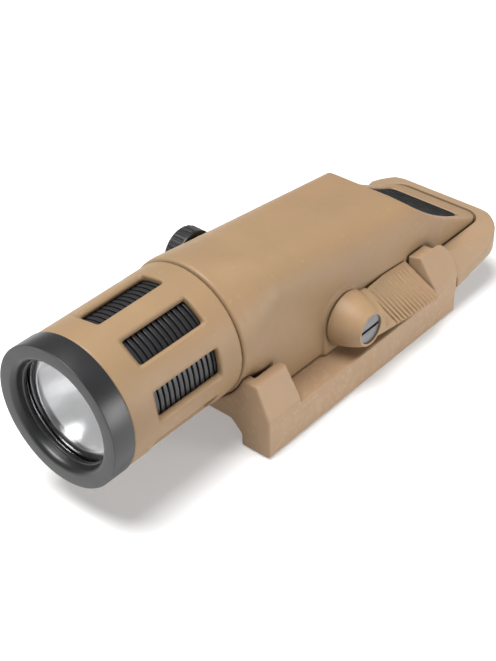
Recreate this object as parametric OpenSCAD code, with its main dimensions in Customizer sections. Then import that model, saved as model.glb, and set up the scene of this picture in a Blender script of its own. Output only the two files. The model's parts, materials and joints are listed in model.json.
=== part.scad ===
// Compact rail-mounted weapon light: rotating head, clamp lever, tail paddle,
// flip-up guard bail and mode selector.
// Frame: +Y runs from the lens to the tail, +X points to the lever side, +Z is up.
// The origin is the centre of the rail seat. Stations along Y are drawn from the seam
// between head and housing, and at_seat() moves each finished piece to the origin.

/* [Head] */
// Outer radius of the bezel ring
bezel_r = 15; // [14.9:0.1:15.3]
// Length of the bezel ring
bezel_len = 5.2; // [5:0.1:6]
// Outer radius of the slotted sleeve
sleeve_r = 14.8; // [14.6:0.1:14.8]
// Length of the slotted sleeve
sleeve_len = 29.4; // [29:0.1:30]
// Number of cooling windows around the sleeve
window_count = 8; // [6:1:8]
// Length of a cooling window
window_len = 16.2; // [12:0.2:17]
// Width of a cooling window
window_w = 5.5; // [4:0.1:5.8]
// Number of cooling ribs behind the windows
rib_count = 13; // [8:1:14]

/* [Housing] */
// Width of the tail, between its side walls
tail_w = 23.8; // [23.4:0.1:24]
// Height of the straight crest in front of the tail paddle
crest_z = 25; // [24.6:0.1:25.4]
// Sagitta of the hollow slope behind the crest
slope_sag = 1.9; // [1.5:0.1:2.2]

/* [Rail base] */
// Overall width of the base
base_w = 36; // [35.6:0.2:36.4]
// Length of the base
base_len = 64.75; // [64.5:0.05:65]
// Depth of the jaws below the rail seat
jaw_depth = 5.5; // [5.2:0.1:5.6]
// Width across the widest part of the rail channel
channel_w = 21.5; // [21.4:0.1:21.6]

/* [Moving parts] */
// Radius of the lever's hub at its foot
hub_r = 6.2; // [6:0.1:6.4]
// Travel of the clamp jaw
jaw_travel = 2.2; // [1.8:0.1:2.2]
// Radius of the selector knob
knob_r = 5.6; // [5:0.1:5.8]
// Number of flutes around the selector knob
flute_count = 24; // [16:2:30]
// Number of grooves across the paddle
paddle_grooves = 12; // [6:1:14]
// Number of grooves across the lever
lever_grooves = 13; // [8:1:14]

/* [Hidden] */
$fn = 64;
HULL_FN = 40;
eps = 0.01;
seam = 0.15;
fit = 0.05;
gap = 0.3;

tan_tone = [0.70, 0.58, 0.43];
black_tone = [0.08, 0.08, 0.09];
steel_tone = [0.60, 0.61, 0.63];
brass_tone = [0.78, 0.62, 0.30];
rubber_tone = [0.05, 0.05, 0.05];
board_tone = [0.10, 0.35, 0.18];

// optical axis
axis_x = -3;
axis_z = 17;

// head, measured along the optical axis from the seam
sleeve_bore = 13.3;
sleeve_front = -seam - sleeve_len;
bezel_front = sleeve_front - bezel_len;
spigot_r = 12.95;
spigot_len = 7.5;
lens_seat = sleeve_front - 2.4;
lens_r = 11.8;
lens_t = 2.2;
mouth_r = 10.9;
bowl_r = 9.6;
thread_end = sleeve_front + 3.5;
reflector_front = lens_seat + 0.5 + lens_t;
reflector_rear = reflector_front + 7.6;
reflector_hole = 3.2;
reflector_wall = 1;
board_front = reflector_rear + reflector_wall;
board_rear = board_front + 1.6;
sink_bore = 11.3;
sink_floor = board_rear + 5;
rear_bore = 10.9;
driver_z = -1;
window_mid = -14;
window_phase = 10;

// housing
ring_r = 15.2;
head_bore_r = 13;
head_bore_end = 8.5;
floor_z = 2.8;
wall_x = 11.6;
tail_x = tail_w / 2;
loft_y = 11.5;
crest_y = 54.5;
tail_y = 83;
tail_z = 8.6;
battery_x = -2;
battery_z = 16.2;
battery_r = 8.45;
battery_y0 = 9;
battery_y1 = 42.5;
bore_end = 45.6;

// hollow slope behind the crest: an arc through the crest and the tail's end
slope_chord = norm([tail_y - crest_y, crest_z - tail_z]);
slope_r = slope_chord ^ 2 / (8 * slope_sag) + slope_sag / 2;
slope_n = [crest_z - tail_z, tail_y - crest_y] / slope_chord;
slope_c = [crest_y + tail_y, crest_z + tail_z] / 2 + slope_n * (slope_r - slope_sag);

// tail paddle
pocket_x = 9.4;
pocket_y0 = 57.6;
pocket_y1 = 77.9;
pocket_floor = 4.5;
paddle_inset = 0.15;
paddle_t = 2.4;
paddle_pivot = [59.8, 15.5];
plunger_y = 67;

// base
base_x = base_w / 2;
base_y0 = seam;
base_y1 = base_y0 + base_len;
channel_x = channel_w / 2;
seat_x = 8.05;
flank = channel_x - seat_x;
block_z = 12.8;
front_z = 11.3;
saddle_y = 2.3;
screw_places = [for (sx = [-1, 1], y = [16, 50]) [sx * 6.5, y]];
key_y = 44;
key_half = 2.4;
key_x = 7.4;
key_depth = 2.4;
key_root = 1.3;

// guard bail
pivot = [58.6, 6.9];
knuckle_r = 6.5;
block_rear = pivot[0] + knuckle_r;
bail_in = 12.4;
bail_rear_in = 83.5;
bail_rear = 85.4;
bail_top = 8.65;
bail_foot = 0.47;
bail_rise = 0.177;
bail_edge = 2.7;
bail_flare = 0.235;
flat_w = 0.8;
ear_x0 = 12.5;
ear_x1 = 14.2;
ear_half = 1.8;
ear_top = 0.5;
ear_r = 3.4;
slot_x = 14.5;
pin_r = 1.2;
pin_end = 16.6;

// clamp
clamp_axis = [30.8, 9.8];
pad_x = 12.6;
pad_r = 6.3;
hub_x0 = pad_x + gap;
hub_x1 = 19.6;
screw_r = 3.3;
shaft_r = 1.5;
shaft_end = 7.7;
pocket_x0 = 7.3;
skin_x = 11.6;
jaw_x = pocket_x0 + gap;
jaw_t = 1.4;
jaw_out = 13.4;
jaw_y0 = clamp_axis[0] - 10;
jaw_y1 = clamp_axis[0] + 10;
foot_top = 1;
neck_half = 4;
arm_x = 12.2;
lever_tip = 52.6;
tip_slant = 0.47;

// selector
knob_axis = [18, 19];
boss_x = -16.6;
knob_in = -16.9;
knob_out = -20.8;
stem_end = -11.7;
detent_r = 3.8;

// ---- helpers ----

// from stations along Y that start at the seam to the frame whose origin is the seat's centre
module at_seat() {
    translate([0, -base_y0 - base_len / 2, 0]) children();
}

// child +Z runs along +Y from the seam, on the optical axis
module on_axis() {
    translate([axis_x, 0, axis_z]) rotate([-90, 0, 0]) children();
}

// child +Z runs along +X through the point [y, z]
module across(place) {
    translate([0, place[0], place[1]]) rotate([0, 90, 0]) children();
}

module bar_x(place, r, x0, x1) {
    across(place) translate([0, 0, x0]) cylinder(r = r, h = x1 - x0);
}

// washer-like ring of revolution between two stations
module tube(r_out, r_in, z0, z1) {
    rotate_extrude() translate([r_in, z0]) square([r_out - r_in, z1 - z0]);
}

module oring(ring, section, z) {
    translate([0, 0, z]) rotate_extrude() translate([ring, 0]) circle(section, $fn = 24);
}

// outline in the XZ plane, drawn out along Y
module drawn_y(y0, y1) {
    translate([0, y1, 0]) rotate([90, 0, 0]) linear_extrude(y1 - y0) children();
}

// outline in the YZ plane, drawn out along X
module drawn_x(x0, x1) {
    translate([x0, 0, 0]) rotate([90, 0, 90]) linear_extrude(x1 - x0) children();
}

module rounded_rect(l, w, r) {
    square([l, w - 2 * r], center = true);
    square([l - 2 * r, w], center = true);
    for (sx = [-1, 1], sy = [-1, 1])
        translate([sx * (l / 2 - r), sy * (w / 2 - r)]) circle(r);
}

// box outline with its own radius at each corner: bottom left, bottom right, top right, top left
module box_outline(x0, x1, z0, z1, r) {
    polygon([[x0 + r[0], z0], [x1 - r[1], z0], [x1, z0 + r[1]], [x1, z1 - r[2]],
        [x1 - r[2], z1], [x0 + r[3], z1], [x0, z1 - r[3]], [x0, z0 + r[0]]]);
    translate([x0 + r[0], z0 + r[0]]) circle(r[0]);
    translate([x1 - r[1], z0 + r[1]]) circle(r[1]);
    translate([x1 - r[2], z1 - r[2]]) circle(r[2]);
    translate([x0 + r[3], z1 - r[3]]) circle(r[3]);
}

module both_sides() {
    children();
    mirror([1, 0, 0]) children();
}

// ---- head ----

module bezel() {
    groove = 0.4;
    color(black_tone) at_seat() on_axis() rotate_extrude() polygon([
        [bezel_r - 0.15, bezel_front], [bezel_r, bezel_front + 0.15], [bezel_r, sleeve_front],
        [sleeve_bore, sleeve_front], [sleeve_bore, thread_end], [lens_r, thread_end],
        [lens_r, lens_seat], [mouth_r, lens_seat], [mouth_r, lens_seat - 0.4],
        [mouth_r + groove, lens_seat - 0.6], [mouth_r + groove, lens_seat - 0.9],
        [mouth_r, lens_seat - 1.1], [mouth_r + 0.1, lens_seat - 1.6],
        [mouth_r + 0.5, bezel_front + 0.5], [mouth_r + 0.9, bezel_front]]);
}

module lens() {
    front = lens_seat + 0.5;
    color([0.75, 0.80, 0.84]) at_seat() on_axis() rotate_extrude() polygon([[0, front],
        [lens_r - 0.4, front], [lens_r, front + 0.4], [lens_r, front + lens_t],
        [0, front + lens_t]]);
}

module lens_gasket() {
    color(rubber_tone) at_seat() on_axis() oring(lens_r - 0.45, 0.25, lens_seat + 0.25);
}

function bowl_z(r) = reflector_rear
    - (reflector_rear - reflector_front) * (r ^ 2 - reflector_hole ^ 2)
    / (bowl_r ^ 2 - reflector_hole ^ 2);

module reflector() {
    steps = 12;
    radii = [for (i = [0:steps]) reflector_hole + (bowl_r - reflector_hole) * i / steps];
    inner = [for (r = radii) [r, bowl_z(r)]];
    outer = [for (i = [steps:-1:0]) [radii[i] + 0.2, bowl_z(radii[i]) + reflector_wall]];
    color([0.85, 0.86, 0.88]) at_seat() on_axis() {
        rotate_extrude() polygon(concat(inner, outer));
        tube(lens_r, bowl_r, reflector_front, reflector_front + reflector_wall);
    }
}

module led_board() {
    color([0.90, 0.90, 0.88]) at_seat() on_axis() tube(sink_bore, 0.9, board_front, board_rear);
}

module led_base() {
    size = 4.2;
    color([0.92, 0.88, 0.70]) at_seat() on_axis() translate([-size / 2, -size / 2, board_front - 0.8])
        cube([size, size, 0.8]);
}

module led_dome() {
    color([0.95, 0.80, 0.25]) at_seat() on_axis() translate([0, 0, board_front - 0.8])
        rotate_extrude() intersection() {
            circle(1.7);
            translate([0, -2]) square([2, 2]);
        }
}

module heat_sink() {
    pitch = (window_len + 1) / rib_count;
    first = window_mid - pitch * rib_count / 2;
    color(black_tone) at_seat() on_axis() difference() {
        union() {
            tube(sleeve_bore, 1.5, thread_end, -seam);
            tube(spigot_r, 1.5, -seam, spigot_len);
        }
        translate([0, 0, thread_end - 1]) cylinder(r = sink_bore, h = board_rear - thread_end + 1);
        translate([0, 0, sink_floor]) cylinder(r = rear_bore, h = spigot_len - sink_floor + 1);
        for (i = [0:rib_count - 1])
            tube(sleeve_bore + 1, sleeve_bore - 1.1, first + pitch * i, first + pitch * (i + 0.55));
        tube(spigot_r + 1, spigot_r - 1.2, 3, 4.4);
    }
}

module head_sleeve() {
    color(tan_tone) at_seat() on_axis() difference() {
        tube(sleeve_r, sleeve_bore, sleeve_front, -seam);
        for (i = [0:window_count - 1])
            rotate([0, 0, -window_phase - 360 / window_count * i])
                translate([0, 0, window_mid]) rotate([0, 90, 0]) window_cut();
    }
}

// a cooling window, drawn with +Z outwards and +X to the front: its front end slopes
// through the wall, and its sides and rear end are chamfered
module window_cut() {
    wall = sleeve_r - sleeve_bore;
    front = window_len / 2;
    side = window_w / 2;
    edge = 1;
    top = sleeve_r + 1;
    intersection() {
        rotate([90, 0, 90]) linear_extrude(window_len + 10, center = true)
            polygon([[-side, sleeve_bore - 1], [side, sleeve_bore - 1], [side, sleeve_r - edge],
                [side + edge + 1, top], [-side - edge - 1, top], [-side, sleeve_r - edge]]);
        rotate([90, 0, 0]) linear_extrude(window_w + 10, center = true)
            polygon([[-front, sleeve_bore - 1], [front, sleeve_bore - 1], [front, sleeve_bore],
                [front + wall + 1, top], [-front - 1.4, top], [-front, sleeve_r - 0.4]]);
    }
}

module driver_board() {
    color(board_tone) at_seat() on_axis() tube(rear_bore, 0.8, driver_z, driver_z + 1.6);
}

module driver_ring() {
    color(brass_tone) at_seat() on_axis() tube(rear_bore, rear_bore - 1.2, driver_z + 1.6, driver_z + 3);
}

module front_contact() {
    foot = driver_z + 1.6;
    color(brass_tone) at_seat() on_axis() translate([0, 0, foot])
        cylinder(r1 = 3.6, r2 = 2, h = battery_y0 - 1.3 - foot);
}

module head_oring() {
    color(rubber_tone) at_seat() on_axis() oring(spigot_r - 0.6, 0.6, 3.7);
}

// ---- housing ----

module loft_section() {
    box_outline(axis_x - 14.2, wall_x, floor_z, axis_z + 14, [6, 0.6, 8, 13.6]);
}

module crest_section() {
    box_outline(-tail_x, tail_x, floor_z, crest_z, [0.6, 0.6, 7, 3]);
}

module housing_outside() {
    on_axis() translate([0, 0, seam]) cylinder(r = ring_r, h = 2.5 - seam);
    difference() {
        hull() {
            on_axis() translate([0, 0, 2.4]) cylinder(r = ring_r, h = 0.1, $fn = HULL_FN);
            drawn_y(loft_y - 0.1, loft_y) loft_section($fn = HULL_FN);
        }
        translate([-25, 2.5, -10]) cube([50, 20, 10 + floor_z]);
    }
    hull() {
        drawn_y(loft_y - 0.1, loft_y) loft_section($fn = HULL_FN);
        drawn_y(crest_y - 0.1, crest_y) crest_section($fn = HULL_FN);
    }
    bar_x(knob_axis, knob_r - 0.6, boss_x, -10);
    bar_x(clamp_axis, pad_r, 10, pad_x);
    translate([10, clamp_axis[0] - pad_r, floor_z])
        cube([pad_x - 10, 2 * pad_r, clamp_axis[1] - floor_z]);
    difference() {
        intersection() {
            drawn_y(crest_y - 0.1, tail_y) crest_section();
            linear_extrude(40) translate([0, crest_y - 2.5])
                rounded_rect(tail_w, 2 * (tail_y - crest_y + 2.5), 4);
        }
        bar_x(slope_c, slope_r, -20, 20);
    }
}

module housing() {
    color(tan_tone) at_seat() difference() {
        housing_outside();
        on_axis() translate([0, 0, -1]) cylinder(r = head_bore_r, h = head_bore_end + 1);
        translate([battery_x, 0, battery_z]) rotate([-90, 0, 0])
            cylinder(r = battery_r + 0.25, h = bore_end);
        translate([battery_x - 1.6, head_bore_end - 1, battery_z - battery_r - 0.9])
            cube([3.2, bore_end - head_bore_end + 1, 2]);
        jaw_pocket();
        bar_x(clamp_axis, 2.4, skin_x - 1, pad_x + 1);
        bar_x(knob_axis, 2 + fit, boss_x - 1, stem_end + gap);
        bar_x(knob_axis + [detent_r, 0], 0.8, boss_x - 1, -14);
        bar_x(knob_axis, knob_r + gap, -25, boss_x);
        paddle_pocket();
        bar_x(paddle_pivot, 0.8, -tail_x + 0.5, tail_x - 0.5);
        for (p = screw_places) translate([p[0], p[1], floor_z - 1]) cylinder(r = 1.8, h = 5.4);
    }
}

module jaw_pocket() {
    room = neck_half + gap;
    translate([pocket_x0, clamp_axis[0] - room, 0])
        cube([skin_x - pocket_x0, 2 * room, clamp_axis[1]]);
    bar_x(clamp_axis, room, pocket_x0, skin_x);
}

module paddle_pocket() {
    translate([-pocket_x, pocket_y0, pocket_floor])
        cube([2 * pocket_x, pocket_y1 - pocket_y0, 30]);
}

module battery() {
    color([0.15, 0.17, 0.20]) at_seat() translate([battery_x, battery_y0, battery_z]) rotate([-90, 0, 0])
        cylinder(r = battery_r, h = battery_y1 - battery_y0);
}

module battery_nub() {
    color(steel_tone) at_seat() translate([battery_x, battery_y0 - 1, battery_z]) rotate([-90, 0, 0])
        cylinder(r = 3, h = 1);
}

module contact_carrier() {
    color(black_tone) at_seat() translate([battery_x, 44, battery_z]) rotate([-90, 0, 0])
        cylinder(r = battery_r + 0.25, h = bore_end - 44);
}

module battery_spring() {
    color(brass_tone) at_seat() translate([battery_x, battery_y1, battery_z]) rotate([-90, 0, 0])
        cylinder(r1 = 3, r2 = 5.5, h = 44 - battery_y1);
}

module ground_strip() {
    color(brass_tone) at_seat()
        translate([battery_x - 1.5, head_bore_end + 0.2, battery_z - battery_r - 0.9])
            cube([3, 35, 0.4]);
}

// ---- tail switch ----

module switch_board() {
    color(board_tone) at_seat() translate([-6, 61.5, pocket_floor]) cube([12, 12, 1]);
}

module switch_body() {
    color(steel_tone) at_seat() translate([-3, plunger_y - 3, pocket_floor + 1]) cube([6, 6, 2.5]);
}

module switch_button() {
    color(black_tone) at_seat() translate([0, plunger_y, pocket_floor + 3.5]) cylinder(r = 1.5, h = 0.7);
}

module paddle() {
    half = pocket_x - gap;
    y0 = pocket_y0 + gap;
    y1 = pocket_y1 - gap;
    top_r = slope_r + paddle_inset;
    step = 1.35;
    start = atan2(slope_c[0] - y1 + 1.6, slope_c[1] - tail_z - 1);
    color(black_tone) at_seat() difference() {
        union() {
            intersection() {
                translate([0, (y0 + y1) / 2, 0]) linear_extrude(40) rounded_rect(2 * half, y1 - y0, 1.6);
                difference() {
                    bar_x(slope_c, top_r + paddle_t, -half, half);
                    bar_x(slope_c, top_r, -half - 1, half + 1);
                }
                translate([-half, y0, 0]) cube([2 * half, y1 - y0, 30]);
            }
            bar_x(paddle_pivot, 2, -half, half);
            translate([0, plunger_y, 9.9]) cylinder(r = 1.8, h = 3.5);
        }
        bar_x(paddle_pivot, 0.8 + fit, -half - 1, half + 1);
        bar_x(paddle_pivot, 2.1, -2.9, 2.9);
        for (i = [0:paddle_grooves - 1])
            translate([0, slope_c[0], slope_c[1]]) rotate([-start - i * step, 0, 0])
                translate([-half + 1, -0.25, -top_r - 0.4]) cube([2 * half - 2, 0.5, 1]);
    }
}

module paddle_pad() {
    color(rubber_tone) at_seat() translate([0, plunger_y, 9.5]) cylinder(r = 1.8, h = 0.4);
}

module paddle_pin() {
    color(steel_tone) at_seat() bar_x(paddle_pivot, 0.8, -tail_x + 0.5, tail_x - 0.5);
}

module paddle_spring() {
    color(steel_tone) at_seat() difference() {
        bar_x(paddle_pivot, 1.7, -2.4, 2.4);
        bar_x(paddle_pivot, 0.8, -3, 3);
    }
}

// ---- rail base ----

module base_section() {
    chamfer = 0.5;
    polygon([[-base_x + chamfer, -jaw_depth], [-channel_x, -jaw_depth], [-channel_x, -flank],
        [-seat_x, 0], [seat_x, 0], [channel_x, -flank], [channel_x, -jaw_depth],
        [base_x - chamfer, -jaw_depth], [base_x, -jaw_depth + chamfer], [base_x, floor_z],
        [-base_x, floor_z], [-base_x, -jaw_depth + chamfer]]);
}

// section of the corner blocks: a level top, then the sloping outer face
module block_section(inner, top, flat_end, shoulder) {
    polygon([[inner, 0], [inner, top], [flat_end, top], [base_x, shoulder], [base_x, 0]]);
}

module front_block() {
    intersection() {
        drawn_y(base_y0, 12) block_section(pad_x, front_z, 14.8, 4);
        linear_extrude(20) polygon([[12, 0], [12, 9.3], [14.8, 9.4], [base_x, 10.2], [base_x, 0]]);
    }
    drawn_y(base_y0, saddle_y) polygon([[-base_x, 0], [-base_x, 9], [0, 9], [0, front_z],
        [13.5, front_z], [13.5, 0]]);
}

module rear_block() {
    inner = 12.3;
    intersection() {
        drawn_y(53, block_rear) block_section(inner, block_z, inner + 2.6, 5.4);
        drawn_x(0, 30) {
            square([pivot[0], block_z]);
            translate(pivot) circle(knuckle_r);
            square([block_rear, pivot[1]]);
        }
        linear_extrude(20) polygon([[inner - 1, 53.1], [inner + 2.6, 54.6], [base_x, 56.2],
            [base_x, 70], [inner - 1, 70]]);
    }
}

module jaw_window() {
    reach = jaw_out + jaw_travel + gap;
    translate([seat_x, jaw_y0 - gap, -jaw_depth - 1])
        cube([reach - seat_x, jaw_y1 - jaw_y0 + 2 * gap, jaw_depth + 1 + foot_top + gap]);
    translate([pocket_x0, clamp_axis[0] - neck_half - gap, -1])
        cube([skin_x - pocket_x0, 2 * (neck_half + gap), 5]);
}

module ear_slot() {
    bar_x(pivot, ear_r + 0.3, 10, slot_x);
    translate([10, pivot[0] + 0.9, 3.2]) cube([slot_x - 10, 10, 15]);
    translate([10, pivot[0], pivot[1] - ear_r - 0.3]) cube([slot_x - 10, 2, ear_r + 0.3 + ear_half]);
}

module rail_base() {
    lip = flank - 0.2;
    color(tan_tone) at_seat() difference() {
        union() {
            drawn_y(base_y0, base_y1) base_section();
            drawn_y(6, 58) polygon([[-channel_x - 1, -jaw_depth + 1], [-channel_x, -jaw_depth + lip],
                [-channel_x + lip, -jaw_depth], [-channel_x - 1, -jaw_depth]]);
            front_block();
            both_sides() rear_block();
        }
        on_axis() translate([0, 0, -1]) cylinder(r = ring_r + 0.1, h = 3.6);
        jaw_window();
        both_sides() {
            ear_slot();
            bar_x(pivot, pin_r, 10, pin_end);
        }
        for (p = screw_places) translate([p[0], p[1], 0]) {
            translate([0, 0, -1]) cylinder(r = 1.35, h = 10);
            translate([0, 0, -eps]) cylinder(r1 = 2.4, r2 = 1.35, h = 1.3);
        }
        translate([-key_x, key_y - key_half, -1]) cube([2 * key_x, 2 * key_half, 1 + key_root]);
    }
}

module base_screws() {
    color(steel_tone) at_seat() for (p = screw_places) translate([p[0], p[1], 0]) difference() {
        union() {
            cylinder(r = 1.25, h = 6.6);
            cylinder(r1 = 2.3, r2 = 1.25, h = 1.25);
        }
        translate([0, 0, -eps]) cylinder(r = 0.9, h = 1, $fn = 6);
    }
}

module base_inserts() {
    color(brass_tone) at_seat() for (p = screw_places) translate([p[0], p[1], floor_z]) difference() {
        cylinder(r = 1.8, h = 4.4);
        translate([0, 0, -1]) cylinder(r = 1.25, h = 7);
    }
}

module recoil_key() {
    color(steel_tone) at_seat() difference() {
        translate([-key_x, key_y - key_half, -key_depth])
            cube([2 * key_x, 2 * key_half, key_depth + key_root]);
        for (sy = [-1, 1]) translate([0, key_y + sy * key_half, -key_depth]) rotate([45, 0, 0])
            cube([20, 0.7, 0.7], center = true);
    }
}

// ---- clamp ----

module shaft_insert() {
    color(brass_tone) at_seat() difference() {
        bar_x(clamp_axis, 2.4, skin_x, pad_x);
        bar_x(clamp_axis, shaft_r + fit, skin_x - 1, pad_x + 1);
    }
}

module jaw() {
    foot_x = channel_x + 0.1;
    color([0.20, 0.20, 0.21]) at_seat() difference() {
        union() {
            bar_x(clamp_axis, neck_half, jaw_x, jaw_x + jaw_t);
            translate([jaw_x, clamp_axis[0] - neck_half, 0.3])
                cube([jaw_t, 2 * neck_half, clamp_axis[1] - 0.3]);
            translate([jaw_x, clamp_axis[0] - neck_half, 0.3])
                cube([jaw_out - jaw_x, 2 * neck_half, foot_top - 0.3]);
            drawn_y(jaw_y0, jaw_y1) polygon([[foot_x, foot_top], [foot_x, -jaw_depth + flank - 0.2],
                [foot_x - flank + 0.4, -jaw_depth + 0.2], [jaw_out, -jaw_depth + 0.2],
                [jaw_out, foot_top]]);
        }
        bar_x(clamp_axis, shaft_r + fit, 0, 30);
    }
}

// outline of the lever's arm at a station, as a thin slice
module arm_slice(y, inner, points) {
    drawn_y(y - 0.05, y) polygon(concat([[inner, points[0][1]]], points));
}

module lever_hub() {
    across(clamp_axis) rotate_extrude() polygon([[shaft_r, hub_x0], [hub_r, hub_x0],
        [hub_r - 0.2, hub_x0 + 1.1], [hub_r - 0.65, hub_x0 + 2.6], [hub_r - 1.15, hub_x0 + 4.1],
        [hub_r - 1.7, hub_x0 + 5.4], [hub_r - 2.4, hub_x1], [screw_r, hub_x1],
        [screw_r, hub_x1 - 2.8], [shaft_r, hub_x1 - 2.8]]);
}

module clamp_lever() {
    rib_x = 13.3;
    rib_z = 12.2;
    fall = 3;
    arm_out = 19.4;
    grip = 46.5;
    groove = 0.62;
    pitch = 1.14;
    first = 37.9;
    lead = 0.7;
    color(tan_tone) at_seat() {
        lever_hub();
        difference() {
            hull() {
                arm_slice(34, hub_x0, [[hub_x0, 14.2], [14.5, 13.8], [18.2, 10.6], [18.6, 5.6],
                    [hub_x0, 4.6]]);
                arm_slice(44, arm_x, [[arm_x, 13.3], [rib_x, 11.9], [arm_out, 5.5],
                    [arm_out, 4.9], [arm_x, 4.2]]);
                arm_slice(lever_tip + 4, arm_x, [[arm_x, 11.7], [rib_x, 11.2], [arm_out, 4.2],
                    [arm_out, 3.4], [arm_x, 3.1]]);
            }
            translate([0, 0, -5]) cube([hub_x0, clamp_axis[0] + pad_r + gap, 40]);
            translate([rib_x, first - lead, rib_z]) rotate([-fall, grip, 0]) translate([-3, 0, 0])
                cube([15, 30, 8]);
            bar_x(clamp_axis, screw_r, hub_x1 - 2.8, 30);
            bar_x(clamp_axis, shaft_r, 0, 30);
            linear_extrude(30) polygon([[arm_x - 1, lever_tip - tip_slant],
                [arm_x + 9, lever_tip + 9 * tip_slant], [arm_x + 9, 70], [arm_x - 1, 70]]);
            for (i = [0:lever_grooves - 1])
                translate([rib_x, first + pitch * i, rib_z - (lead + pitch * i) * tan(fall)])
                    rotate([0, grip, atan(tip_slant)]) rotate([45, 0, 0])
                        translate([0, -groove / 2, -groove / 2]) cube([12, groove, groove]);
        }
    }
}

module clamp_screw() {
    head_x = hub_x1 - 0.4;
    color(steel_tone) at_seat() difference() {
        union() {
            bar_x(clamp_axis, shaft_r, shaft_end, hub_x1 - 2);
            bar_x(clamp_axis, screw_r, hub_x1 - 2.8, head_x);
        }
        translate([head_x - 0.9, clamp_axis[0] - 4, clamp_axis[1] - 0.35]) cube([2, 8, 0.7]);
    }
}

// ---- guard bail ----

module bail_plan() {
    difference() {
        translate([0, 60]) rounded_rect(base_w, 2 * (bail_rear - 60), 8);
        translate([0, 60]) rounded_rect(2 * bail_in, 2 * (bail_rear_in - 60), 4.4);
        translate([-30, 0]) square([60, pivot[0]]);
    }
}

// section of the bail's side arm at a station, as a thin slice
module bail_slice(y) {
    foot = bail_foot + bail_rise * (y - block_rear);
    shoulder = bail_edge + bail_flare * (y - block_rear);
    drawn_y(y - 0.05, y) polygon([[bail_in - 1, foot], [bail_in - 1, bail_top],
        [bail_in + flat_w, bail_top], [base_x, shoulder], [base_x, foot]]);
}

module bail_arms() {
    foot = bail_foot + bail_rise * (bail_rear_in - block_rear);
    both_sides() hull() {
        bail_slice(pivot[0]);
        bail_slice(bail_rear);
    }
    translate([-bail_in, bail_rear_in - 5, foot]) cube([2 * bail_in, 10, bail_top - foot]);
}

module bail() {
    color(tan_tone) at_seat() difference() {
        union() {
            difference() {
                intersection() {
                    linear_extrude(30) bail_plan();
                    bail_arms();
                }
                bar_x(pivot, knuckle_r + gap, -20, 20);
                translate([-20, 0, -1]) cube([40, block_rear + gap, pivot[1] + 1]);
            }
            both_sides() {
                bar_x(pivot, ear_r, ear_x0, ear_x1);
                translate([ear_x0, pivot[0], pivot[1] - ear_half])
                    cube([ear_x1 - ear_x0, 8, ear_half + ear_top]);
            }
        }
        both_sides() bar_x(pivot, pin_r + fit, 10, 20);
    }
}

module bail_pins() {
    color(steel_tone) at_seat() both_sides() bar_x(pivot, pin_r, ear_x0, pin_end);
}

// ---- selector ----

module selector_knob() {
    color(black_tone) at_seat() difference() {
        union() {
            across(knob_axis) rotate_extrude() polygon([[0, knob_out], [knob_r - 0.5, knob_out],
                [knob_r, knob_out + 0.5], [knob_r, knob_in], [0, knob_in]]);
            bar_x(knob_axis, 2, knob_in - 0.1, stem_end);
        }
        for (i = [0:flute_count - 1])
            across(knob_axis) rotate([0, 0, 360 / flute_count * i])
                translate([knob_r + 0.15, 0, knob_out - 1])
                    cylinder(r = 0.4, h = knob_in - knob_out + 0.4, $fn = 16);
        across(knob_axis) tube(2.5, 1.5, knob_in + 0.9, knob_in + 1.9);
        across(knob_axis) tube(detent_r + 0.9, detent_r - 0.9, knob_in - 0.4, knob_in + 1);
        bar_x(knob_axis, 1.8, knob_out - 1, knob_out + 0.8);
        bar_x(knob_axis, 0.8, knob_out, -14);
    }
}

module selector_screw() {
    color(steel_tone) at_seat() difference() {
        union() {
            bar_x(knob_axis, 1.8, knob_out + 0.1, knob_out + 0.8);
            bar_x(knob_axis, 0.8, knob_out + 0.1, -14);
        }
        translate([knob_out - 0.6, knob_axis[0] - 2, knob_axis[1] - 0.25]) cube([1.1, 4, 0.5]);
    }
}

module selector_oring() {
    color(rubber_tone) at_seat() across(knob_axis) oring(1.75, 0.25, knob_in + 1.4);
}

module selector_detent() {
    ball_x = boss_x + 0.5;
    color(steel_tone) at_seat() across(knob_axis + [detent_r, 0]) rotate_extrude() {
        intersection() {
            translate([0, ball_x]) circle(0.7);
            translate([0, ball_x - 1]) square([1, 2]);
        }
        translate([0, ball_x]) square([0.5, -14 - ball_x]);
    }
}

bezel();
lens();
lens_gasket();
reflector();
led_board();
led_base();
led_dome();
heat_sink();
head_sleeve();
driver_board();
driver_ring();
front_contact();
head_oring();
housing();
battery();
battery_nub();
contact_carrier();
battery_spring();
ground_strip();
switch_board();
switch_body();
switch_button();
paddle();
paddle_pad();
paddle_pin();
paddle_spring();
rail_base();
base_screws();
base_inserts();
recoil_key();
shaft_insert();
jaw();
clamp_lever();
clamp_screw();
bail();
bail_pins();
selector_knob();
selector_screw();
selector_oring();
selector_detent();
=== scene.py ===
import json
import math

import bmesh
import bpy
from mathutils import Matrix, Vector


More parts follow.
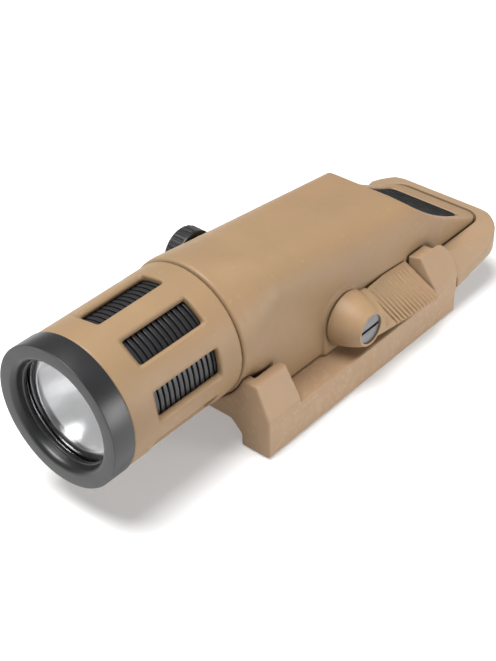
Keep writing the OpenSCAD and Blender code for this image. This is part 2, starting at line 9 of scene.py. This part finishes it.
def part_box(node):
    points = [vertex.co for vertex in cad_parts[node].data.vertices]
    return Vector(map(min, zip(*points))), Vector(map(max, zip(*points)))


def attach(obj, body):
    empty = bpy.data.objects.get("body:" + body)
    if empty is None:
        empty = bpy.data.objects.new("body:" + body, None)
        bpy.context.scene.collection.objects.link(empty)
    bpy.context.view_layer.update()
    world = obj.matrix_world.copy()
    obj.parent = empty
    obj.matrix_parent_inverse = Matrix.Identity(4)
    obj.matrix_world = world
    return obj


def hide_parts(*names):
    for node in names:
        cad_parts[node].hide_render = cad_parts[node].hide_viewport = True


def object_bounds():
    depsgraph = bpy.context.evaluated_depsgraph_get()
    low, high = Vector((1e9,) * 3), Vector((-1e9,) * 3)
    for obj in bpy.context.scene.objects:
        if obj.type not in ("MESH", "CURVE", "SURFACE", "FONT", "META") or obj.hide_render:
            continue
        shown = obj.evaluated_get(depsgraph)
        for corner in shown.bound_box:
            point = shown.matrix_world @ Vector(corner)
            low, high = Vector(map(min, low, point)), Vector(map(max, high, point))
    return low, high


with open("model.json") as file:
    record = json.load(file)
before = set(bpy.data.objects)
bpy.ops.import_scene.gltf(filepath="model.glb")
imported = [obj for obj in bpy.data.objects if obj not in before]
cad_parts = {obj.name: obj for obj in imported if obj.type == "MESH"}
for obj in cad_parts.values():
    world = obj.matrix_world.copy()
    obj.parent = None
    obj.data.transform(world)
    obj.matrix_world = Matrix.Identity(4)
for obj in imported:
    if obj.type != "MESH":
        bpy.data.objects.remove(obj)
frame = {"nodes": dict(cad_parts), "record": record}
cad_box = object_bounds()
nodes = frame["nodes"]
MM = 0.001
MOST_TRIANGLES = 190000


def span(node):
    """Lowest and highest corner of a CAD node, in millimetres."""
    low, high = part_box(node)
    return Vector(low) / MM, Vector(high) / MM


# ---------------------------------------------------------------- camera and light

def add_object(name, data):
    ob = bpy.data.objects.new(name, data)
    bpy.context.scene.collection.objects.link(ob)
    return ob


def add_camera(place, azimuth, elevation, roll, lens):
    az, el, turn = (math.radians(a) for a in (azimuth, elevation, roll))
    back = Vector((math.sin(az) * math.cos(el), -math.cos(az) * math.cos(el), math.sin(el)))
    right = (-back).cross(Vector((0, 0, 1))).normalized()
    up = right.cross(-back)
    x_axis = math.cos(turn) * right + math.sin(turn) * up
    y_axis = math.cos(turn) * up - math.sin(turn) * right
    camera = bpy.data.cameras.new("photo_camera")
    camera.lens = lens
    camera.sensor_width = 36
    camera.clip_start = 0.01
    ob = add_object("photo_camera", camera)
    facing = Matrix((x_axis, y_axis, back)).transposed().to_4x4()
    ob.matrix_world = Matrix.Translation(place) @ facing
    bpy.context.scene.camera = ob


def add_softbox(name, place, target, size, power):
    light = bpy.data.lights.new(name, "AREA")
    light.shape = "DISK"
    light.size = size
    light.energy = power
    ob = add_object(name, light)
    ob.location = place
    ob.rotation_euler = (Vector(target) - Vector(place)).to_track_quat("-Z", "Y").to_euler()


add_camera(Vector((0.15264, -0.191865, 0.18314)), 41.198, 36.865, -1.118, 77.27)
middle = (Vector(cad_box[0]) + Vector(cad_box[1])) / 2
add_softbox("key", middle + Vector((-0.10, -0.16, 0.68)), middle, 0.50, 10.2)
add_softbox("fill", middle + Vector((0.50, -0.25, 0.12)), middle, 0.30, 0.15)
add_softbox("rim", middle + Vector((0.24, 0.08, 0.04)), middle + Vector((0, 0.02, 0)), 0.12, 0.36)

world = bpy.data.worlds.new("studio")
bpy.context.scene.world = world
world.use_nodes = True
sky = world.node_tree.nodes
height = sky.new("ShaderNodeSeparateXYZ")
grade = sky.new("ShaderNodeMapRange")
for key, value in {"From Min": 0.0, "From Max": 0.5, "To Min": 0.40, "To Max": 0.14}.items():
    grade.inputs[key].default_value = value
world.node_tree.links.new(sky.new("ShaderNodeTexCoord").outputs["Generated"], height.inputs[0])
world.node_tree.links.new(height.outputs["Z"], grade.inputs["Value"])
world.node_tree.links.new(grade.outputs["Result"], sky["Background"].inputs["Strength"])
sky["Background"].inputs["Color"].default_value = (1, 1, 1, 1)
bpy.context.scene.view_settings.view_transform = "Standard"


# ---------------------------------------------------------------- materials

class Paint:
    """A node material under construction. Sizes are in millimetres."""

    def __init__(self, name, rough, metal=0.0, specular=0.5):
        self.material = bpy.data.materials.new(name)
        self.material.use_nodes = True
        self.tree = self.material.node_tree
        self.shader = self.tree.nodes["Principled BSDF"]
        self.shader.inputs["Roughness"].default_value = rough
        self.shader.inputs["Metallic"].default_value = metal
        self.shader.inputs["Specular IOR Level"].default_value = specular
        self.place = self.tree.nodes.new("ShaderNodeTexCoord").outputs["Object"]
        self.bumps = None

    def node(self, kind, inputs=(), **settings):
        made = self.tree.nodes.new(kind)
        for key, value in settings.items():
            setattr(made, key, value)
        for key, value in dict(inputs).items():
            if isinstance(value, bpy.types.NodeSocket):
                self.tree.links.new(value, made.inputs[key])
            else:
                made.inputs[key].default_value = value
        return made

    def at(self, stretch=(1, 1, 1)):
        return self.node("ShaderNodeMapping", {"Vector": self.place, "Scale": stretch}).outputs[0]

    def noise(self, size, detail=3.0, rough=0.5, stretch=(1, 1, 1), warp=0.0):
        return self.node("ShaderNodeTexNoise", {
            "Vector": self.at(stretch), "Scale": 1 / (size * MM), "Detail": detail,
            "Roughness": rough, "Distortion": warp}).outputs["Fac"]

    def cells(self, size):
        return self.node("ShaderNodeTexVoronoi", {
            "Vector": self.at(), "Scale": 1 / (size * MM)}).outputs["Distance"]

    def fit(self, value, low, high, to_low=0.0, to_high=1.0):
        return self.node("ShaderNodeMapRange", {
            "Value": value, "From Min": low, "From Max": high,
            "To Min": to_low, "To Max": to_high}).outputs["Result"]

    def times(self, a, b):
        return self.node("ShaderNodeMath", {0: a, 1: b}, operation="MULTIPLY").outputs[0]

    def edges(self, low, high):
        """0 on flats, 1 on worn convex edges."""
        sharp = self.node("ShaderNodeNewGeometry").outputs["Pointiness"]
        return self.fit(sharp, low, high)

    def tint(self, base, layers):
        """Base colour, then (mask, colour) layers over it."""
        colour = base
        for mask, top in layers:
            mix = self.node("ShaderNodeMix", data_type="RGBA")
            self.tree.links.new(mask, mix.inputs["Factor"])
            for socket, value in ((mix.inputs[6], colour), (mix.inputs[7], top)):
                if isinstance(value, tuple):
                    socket.default_value = (*value, 1)
                else:
                    self.tree.links.new(value, socket)
            colour = mix.outputs[2]
        self.tree.links.new(colour, self.shader.inputs["Base Color"])

    def roughen(self, value):
        self.tree.links.new(value, self.shader.inputs["Roughness"])

    def bump(self, height, depth, strength=1.0):
        made = self.node("ShaderNodeBump", {
            "Height": height, "Distance": depth * MM, "Strength": strength})
        if self.bumps:
            self.tree.links.new(self.bumps, made.inputs["Normal"])
        self.bumps = made.outputs["Normal"]
        self.tree.links.new(self.bumps, self.shader.inputs["Normal"])


def shade(tone, factor):
    return tuple(c * factor for c in tone)


def moulded(name, tone, warm, drift):
    """Fine-textured moulded polymer with cloudy tone, rubbed edges and darker hollows."""
    p = Paint(name, 0.5, specular=0.26)
    cloud = p.fit(p.noise(14, 2, 0.5, warp=0.4), 0.35, 0.65)
    speck = p.fit(p.noise(0.45, 4, 0.7), 0.35, 0.7)
    rub = p.times(p.edges(0.535, 0.62), p.fit(p.noise(1.4, 5, 0.65), 0.35, 0.62, 0.25, 1))
    # darker in concave hollows and creases, broken up by noise
    hollow_dark = p.times(p.edges(0.485, 0.43), p.fit(p.noise(3, 4, 0.6), 0.4, 0.7))
    p.tint(shade(tone, 0.955), [
        (p.times(cloud, 0.8), shade(tone, 1.05)), (p.times(speck, 0.22), shade(tone, 1.14)),
        (p.times(p.fit(p.noise(30, 1), 0.4, 0.6), drift), warm),
        (p.times(hollow_dark, 0.35), shade(tone, 0.72)), (p.times(rub, 0.5), shade(tone, 1.28))])
    p.roughen(p.fit(p.noise(2.2, 5, 0.6), 0.3, 0.7, 0.40, 0.55))
    p.bump(p.noise(0.22, 4, 0.65), 0.035, 0.35)
    p.bump(p.noise(1.1, 3, 0.5), 0.05, 0.22)
    p.bump(p.noise(7, 2, 0.5), 0.12, 0.25)
    return p.material


def anodised(name, tone, rough):
    """Satin black anodised aluminium: turned lines, faint grey bloom, bright worn edges."""
    p = Paint(name, rough, specular=0.5)
    p.shader.inputs["IOR"].default_value = 1.5
    bloom = p.fit(p.noise(9, 3, 0.5, warp=0.2), 0.35, 0.7)
    rub = p.times(p.edges(0.53, 0.62), p.fit(p.noise(0.8, 6, 0.7), 0.45, 0.62))
    p.tint(tone, [(p.times(bloom, 0.5), shade(tone, 1.5)),
                  (p.times(rub, 0.55), (0.30, 0.30, 0.31))])
    p.roughen(p.fit(p.noise(4, 3, 0.5), 0.3, 0.7, rough - 0.02, rough + 0.04))
    p.bump(p.noise(0.16, 3, 0.6), 0.008, 0.25)
    p.bump(p.noise(0.5, 2, 0.5, stretch=(0.2, 4, 0.2)), 0.006, 0.2)
    return p.material


def dark_plastic(name, tone, rough):
    p = Paint(name, rough, specular=0.15)
    speck = p.fit(p.noise(0.35, 4, 0.7), 0.35, 0.7)
    rub = p.times(p.edges(0.52, 0.60), p.fit(p.noise(1.0, 5, 0.7), 0.4, 0.65))
    p.tint(tone, [(p.times(speck, 0.4), shade(tone, 1.6)),
                  (p.times(p.fit(p.noise(6, 4, 0.6), 0.45, 0.7), 0.3), shade(tone, 1.9)),
                  (p.times(rub, 0.5), shade(tone, 3.2))])
    p.roughen(p.fit(p.noise(1.8, 5, 0.6), 0.3, 0.7, rough - 0.08, rough + 0.10))
    p.bump(p.noise(0.2, 4, 0.6), 0.03, 0.4)
    return p.material


def machined(name, tone, rough, stretch, stain):
    """Turned or drawn metal with fine tool lines and small stains."""
    p = Paint(name, rough, 1.0)
    lines = p.noise(0.6, 4, 0.6, stretch=stretch)
    marks = p.fit(p.noise(1.7, 6, 0.7, warp=0.6), 0.5, 0.72)
    p.tint(tone, [(p.times(p.fit(lines, 0.35, 0.65), 0.35), shade(tone, 0.78)),
                  (p.times(marks, 0.45), stain)])
    p.roughen(p.fit(lines, 0.3, 0.7, rough - 0.07, rough + 0.10))
    p.bump(lines, 0.015, 0.5)
    p.bump(p.noise(0.25, 3, 0.6), 0.01, 0.3)
    return p.material


def clear_glass():
    p = Paint("lens_glass", 0.02, specular=0.6)
    p.shader.inputs["Transmission Weight"].default_value = 1
    p.shader.inputs["IOR"].default_value = 1.48
    p.shader.inputs["Coat Weight"].default_value = 0.4
    haze = p.fit(p.noise(3.5, 5, 0.65, warp=0.8), 0.5, 0.75)
    p.tint((0.93, 0.95, 0.96), [(haze, (0.88, 0.90, 0.92))])
    p.roughen(p.fit(p.noise(2.5, 6, 0.7), 0.35, 0.75, 0.01, 0.06))
    p.bump(p.noise(5, 2, 0.5), 0.02, 0.2)
    return p.material


def plated_mirror():
    p = Paint("mirror_bowl", 0.12, 1.0)
    peel = p.noise(0.7, 2, 0.5)
    cloud = p.fit(p.noise(4, 4, 0.6), 0.4, 0.7)
    p.tint((0.78, 0.755, 0.757), [(p.times(cloud, 0.5), (0.67, 0.645, 0.647))])
    p.roughen(p.fit(p.noise(2, 4, 0.6), 0.3, 0.7, 0.30, 0.40))
    p.bump(peel, 0.05, 0.45)
    return p.material


def circuit(name, tone, track):
    """Coated board with a faint pattern of tracks under the coat."""
    p = Paint(name, 0.35, specular=0.5)
    p.shader.inputs["Coat Weight"].default_value = 0.5
    p.shader.inputs["Coat Roughness"].default_value = 0.2
    tracks = p.fit(p.cells(1.6), 0.32, 0.36)
    p.tint(tone, [(p.times(tracks, 0.8), track),
                  (p.times(p.fit(p.noise(2, 4, 0.6), 0.45, 0.7), 0.4), shade(tone, 0.7))])
    p.bump(tracks, 0.03, 0.6)
    p.bump(p.noise(0.3, 3, 0.5), 0.01, 0.3)
    return p.material


def phosphor_dome():
    p = Paint("phosphor", 0.12, specular=0.6)
    p.shader.inputs["Coat Weight"].default_value = 0.8
    p.tint((0.85, 0.62, 0.10), [(p.fit(p.noise(0.3, 4, 0.7), 0.4, 0.7), (0.92, 0.76, 0.25))])
    p.roughen(p.fit(p.noise(0.8, 4, 0.6), 0.3, 0.7, 0.08, 0.2))
    p.bump(p.noise(0.3, 3, 0.5), 0.01, 0.3)
    return p.material


TAN = (0.252, 0.167, 0.092)
WARM = (0.265, 0.160, 0.088)
# painted light: the rail base's tan is a lighter, pinker copy of TAN, standing in for bounce light
# and sheen from the white floor
BASE_TAN_PAINTED_LIGHT = (0.300, 0.202, 0.121)
# painted light: the bail's tan is a lighter, pinker copy of TAN, standing in for the brighter light
# on the bail's sides
BAIL_TAN_PAINTED_LIGHT = (0.272, 0.190, 0.118)
STEEL_STAIN = (0.30, 0.27, 0.24)
paints = {
    "tan_polymer": moulded("tan_polymer", TAN, WARM, 0.30),
    "tan_head": moulded("tan_head", TAN, WARM, 0.25),
    "tan_lever": moulded("tan_lever", shade(TAN, 1.08), WARM, 0.45),
    "tan_bail": moulded("tan_bail", BAIL_TAN_PAINTED_LIGHT, WARM, 0.35),
    "tan_base": moulded("tan_base", BASE_TAN_PAINTED_LIGHT, WARM, 0.25),
    "black_anodised": anodised("black_anodised", (0.013, 0.013, 0.014), 0.36),
    "black_polymer": dark_plastic("black_polymer", (0.005, 0.005, 0.005), 0.66),
    "dark_steel": machined("dark_steel", (0.19, 0.19, 0.195), 0.42, (1, 1, 6), (0.06, 0.05, 0.05)),
    "steel": machined("steel", (0.56, 0.56, 0.57), 0.26, (1, 5, 5), STEEL_STAIN),
    "brass": machined("brass", (0.62, 0.45, 0.20), 0.30, (5, 1, 5), (0.30, 0.20, 0.09)),
    "lens_glass": clear_glass(),
    "mirror_bowl": plated_mirror(),
    "white_board": circuit("white_board", (0.74, 0.74, 0.72), (0.62, 0.60, 0.52)),
    "phosphor": phosphor_dome(),
    "green_board": circuit("green_board", (0.02, 0.16, 0.07), (0.04, 0.26, 0.12)),
    "black_rubber": dark_plastic("black_rubber", (0.010, 0.010, 0.010), 0.72),
    "cell_wrap": dark_plastic("cell_wrap", (0.03, 0.045, 0.075), 0.25),
}
slot_of = {s["node"]: s["material_slot"] for s in frame["record"]["subparts"]}
body_of = {n: body for body, names in frame["record"]["behaviour"]["bodies"].items() for n in names}

for name, ob in nodes.items():
    ob.data.materials.clear()
    ob.data.materials.append(paints[slot_of[name]])


# ---------------------------------------------------------------- making pieces

def finish_piece(ob, node):
    """Shades it smooth, gives it the node's finish and body, and lets it stand for the node."""
    ob.data.materials.clear()
    ob.data.materials.append(paints[slot_of[node]])
    for face in ob.data.polygons:
        face.use_smooth = True
    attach(ob, body_of[node])
    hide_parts(node)
    return ob


def apply_all(ob):
    graph = bpy.context.evaluated_depsgraph_get()
    made = bpy.data.meshes.new_from_object(ob.evaluated_get(graph), depsgraph=graph)
    ob.modifiers.clear()
    ob.data = made


def soften(node, voxel, passes):
    """The node's own shape, remeshed at voxel mm and smoothed so that its edges are rounded."""
    ob = add_object(node + "_skin", nodes[node].data.copy())
    grid = ob.modifiers.new("grid", "REMESH")
    grid.mode = "VOXEL"
    grid.voxel_size = voxel * MM
    ease = ob.modifiers.new("ease", "SMOOTH")
    ease.factor = 0.5
    ease.iterations = passes
    apply_all(ob)
    triangles = sum(len(f.vertices) - 2 for f in ob.data.polygons)
    if triangles > MOST_TRIANGLES:
        thin = ob.modifiers.new("thin", "DECIMATE")
        thin.ratio = MOST_TRIANGLES / triangles
        apply_all(ob)
    return finish_piece(ob, node)


def rounded(points, radii, steps=5):
    """A closed outline with an arc of its own radius at each corner."""
    made = []
    count = len(points)
    for i in range(count):
        here = Vector(points[i])
        before = Vector(points[i - 1]) - here
        after = Vector(points[(i + 1) % count]) - here
        radius = radii[i] if isinstance(radii, (list, tuple)) else radii
        reach = min(radius, 0.45 * before.length, 0.45 * after.length)
        if reach < 0.01:
            made.append(tuple(here))
            continue
        start = here + before.normalized() * reach
        end = here + after.normalized() * reach
        for k in range(steps + 1):
            t = k / steps
            made.append(tuple((1 - t) ** 2 * start + 2 * t * (1 - t) * here + t ** 2 * end))
    return made


def lathe(name, outline, axis, turns=192):
    """A closed outline of (radius, y) in mm, turned about the line x, z = axis along Y."""
    verts, faces = [], []
    count = len(outline)
    for i in range(turns):
        a = 2 * math.pi * i / turns
        for r, y in outline:
            x = axis[0] + r * math.cos(a)
            z = axis[1] + r * math.sin(a)
            verts.append((x * MM, y * MM, z * MM))
    for i in range(turns):
        j = (i + 1) % turns
        for k in range(count):
            m = (k + 1) % count
            if outline[k][0] < 0.001 and outline[m][0] < 0.001:
                continue
            faces.append((i * count + k, i * count + m, j * count + m, j * count + k))
    mesh = bpy.data.meshes.new(name)
    mesh.from_pydata(verts, [], faces)
    ob = add_object(name, mesh)
    weld = ob.modifiers.new("weld", "WELD")
    weld.merge_threshold = 0.0005 * MM
    apply_all(ob)
    shell = bmesh.new()
    shell.from_mesh(ob.data)
    bmesh.ops.recalc_face_normals(shell, faces=shell.faces)
    shell.to_mesh(ob.data)
    shell.free()
    return ob


# ---------------------------------------------------------------- head

bezel_low, bezel_high = span("bezel")
axis = ((bezel_low.x + bezel_high.x) / 2, (bezel_low.z + bezel_high.z) / 2)
bezel_r = (bezel_high.x - bezel_low.x) / 2
face_y = bezel_low.y
sleeve_y = span("head_sleeve")[0].y
lens_low, lens_high = span("lens")
lens_r = (lens_high.x - lens_low.x) / 2
seat_y = lens_low.y - 0.5

# bezel: a crisp outer edge, a soft mouth, two steps down to the lens, and the threaded shank
shank_r, mouth_r = 13.3, 10.9
outline = [
    (bezel_r, face_y), (bezel_r, sleeve_y - 0.02), (shank_r, sleeve_y - 0.02),
    (shank_r, bezel_high.y), (lens_r, bezel_high.y), (lens_r, seat_y), (mouth_r, seat_y),
    (mouth_r, seat_y - 0.55),
    (11.25, seat_y - 0.7), (11.25, seat_y - 1.05), (11.45, face_y + 0.75), (12.15, face_y)]
soft = [0.16, 0.22, 0.05, 0.2, 0.1, 0.05, 0.15, 0.12, 0.1, 0.15, 0.5, 0.45]
finish_piece(lathe("bezel_ring", rounded(outline, soft), axis), "bezel")

# lens: a polished disc with a ground rim
outline = [(0, lens_low.y), (lens_r - 0.45, lens_low.y), (lens_r - 0.05, lens_low.y + 0.4),
           (lens_r - 0.05, lens_high.y), (0, lens_high.y)]
finish_piece(lathe("lens_disc", rounded(outline, [0, 0.12, 0.12, 0.12, 0]), axis), "lens")

# reflector: a deep bowl, a flat flange and a thin wall
ref_low = span("reflector")[0]
bowl_r, hole_r, wall = 9.6, 3.2, 0.85
bowl_end = span("led_board")[0].y - 1


def bowl_y(r):
    return bowl_end - (bowl_end - ref_low.y) * (r * r - hole_r ** 2) / (bowl_r ** 2 - hole_r ** 2)


radii = [hole_r + (bowl_r - hole_r) * i / 40 for i in range(41)]
outline = [(r, bowl_y(r)) for r in radii]
flange_r = lens_r - 0.08
outline += [(bowl_r + 0.12, ref_low.y), (flange_r, ref_low.y), (flange_r, ref_low.y + wall),
            (bowl_r + 0.35, ref_low.y + wall)]
outline += [(r + 0.25, min(bowl_y(r) + wall, bowl_end + wall)) for r in reversed(radii[:-2])]
finish_piece(lathe("reflector_bowl", outline, axis), "reflector")

# heat sink: rounded ribs behind the windows
sink_low, sink_high = span("heat_sink")
board_rear = span("led_board")[1].y
seam_y = span("head_sleeve")[1].y
rib_count, rib_room, gap_part, rib_depth = 13, 17.2, 0.30, 1.1
pitch = rib_room / rib_count
first = (sleeve_y + seam_y) / 2 + 0.85 - rib_room / 2
sink_r, spigot_r, front_bore, rear_bore, wire_hole = 13.25, 12.93, 11.3, 10.9, 1.5
groove_r = spigot_r - 1.2
groove_y0, groove_y1 = seam_y + 3.15, seam_y + 4.55
floor_y = board_rear + 5
outline, soft = [(front_bore, sink_low.y), (sink_r, sink_low.y)], [0.1, 0.2]
for i in range(rib_count):
    y = first + pitch * i
    outline += [(sink_r, y), (sink_r - rib_depth, y),
                (sink_r - rib_depth, y + pitch * gap_part), (sink_r, y + pitch * gap_part)]
    soft += [0.16, 0.1, 0.1, 0.16]
outline += [(sink_r, seam_y), (spigot_r, seam_y), (spigot_r, groove_y0), (groove_r, groove_y0),
            (groove_r, groove_y1), (spigot_r, groove_y1), (spigot_r, sink_high.y),
            (rear_bore, sink_high.y), (rear_bore, floor_y), (wire_hole, floor_y),
            (wire_hole, board_rear), (front_bore, board_rear)]
soft += [0.1, 0.1, 0.1, 0.1, 0.1, 0.1, 0.3, 0.2, 0.2, 0.1, 0.1, 0.1]
finish_piece(lathe("cooling_ribs", rounded(outline, soft, 3), axis), "heat_sink")

soften("head_sleeve", 0.19, 14)


# ---------------------------------------------------------------- housing, base and moving parts

for node, voxel, passes in (
        ("housing", 0.27, 26), ("rail_base", 0.24, 7), ("bail", 0.16, 12),
        ("clamp_lever", 0.11, 5), ("jaw", 0.16, 5), ("recoil_key", 0.12, 4),
        ("paddle", 0.11, 5), ("selector_knob", 0.08, 4), ("clamp_screw", 0.09, 4),
        ("base_screws", 0.09, 3)):
    soften(node, voxel, passes)


# ---------------------------------------------------------------- floor and close

bpy.ops.mesh.primitive_plane_add(size=6, location=(0, 0, cad_box[0][2] - 0.0001))
floor = bpy.context.object
floor.name = "floor"
paper = Paint("paper", 0.9)
paper.tint((0.65, 0.65, 0.65), [(paper.noise(60, 2), (0.63, 0.63, 0.63))])
paper.shader.inputs["Emission Color"].default_value = (1, 1, 1, 1)
paper.shader.inputs["Emission Strength"].default_value = 0.30
floor.data.materials.append(paper.material)
